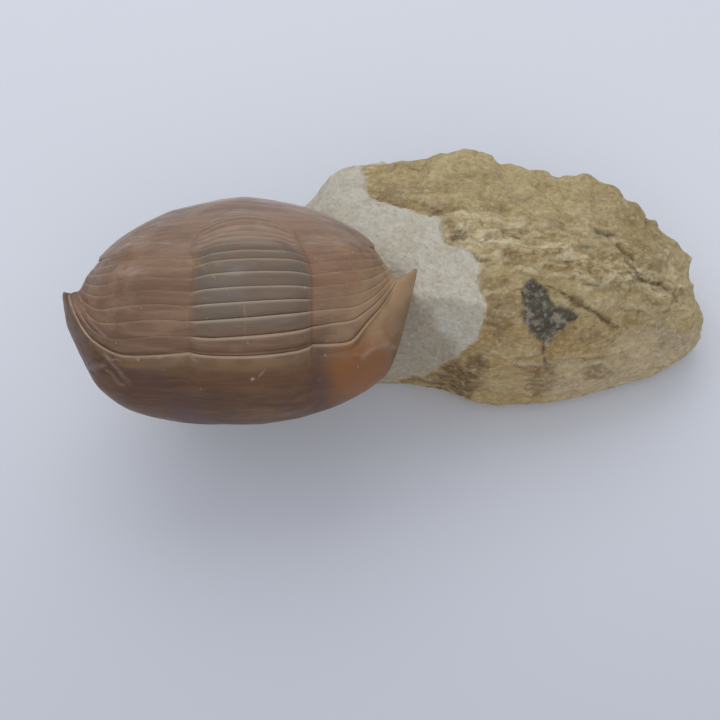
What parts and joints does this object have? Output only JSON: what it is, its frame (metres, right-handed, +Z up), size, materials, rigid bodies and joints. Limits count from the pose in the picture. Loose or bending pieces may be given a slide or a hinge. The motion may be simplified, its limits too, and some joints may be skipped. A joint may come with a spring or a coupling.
{
  "type": "trilobite fossil on limestone matrix",
  "caption": "Half-enrolled trilobite fossil with overlapping head shield, jointed thorax and tail shield, prepared free of the limestone block that carries it.",
  "frame": {"origin": "centre of the bounding box on the base plane the rock rests on", "axes": "+Z up, +X along the rock away from the fossil, -Y the side the head shield hangs over"},
  "size_m": [0.1048, 0.05, 0.0445],
  "materials": {
    "head_calcite": "smooth dark brown calcite with a waxy satin sheen, orange-brown on one cheek",
    "body_calcite": "smooth grey-brown calcite, satin, olive-grey and slightly translucent over the axis",
    "tail_calcite": "smooth brown calcite, satin, with a pale border",
    "limestone": "dull fine-grained limestone, pale and air-abraded round the fossil, yellow-brown and weathered elsewhere"
  },
  "bodies": {
    "root": {"matrix": "limestone", "cephalon": "head_calcite", "thoracic_segment_1": "body_calcite", "thoracic_segment_2": "body_calcite", "thoracic_segment_3": "body_calcite", "thoracic_segment_4": "body_calcite", "thoracic_segment_5": "body_calcite", "thoracic_segment_6": "body_calcite", "thoracic_segment_7": "body_calcite", "thoracic_segment_8": "body_calcite", "pygidium": "tail_calcite"}
  },
  "joints": []
}
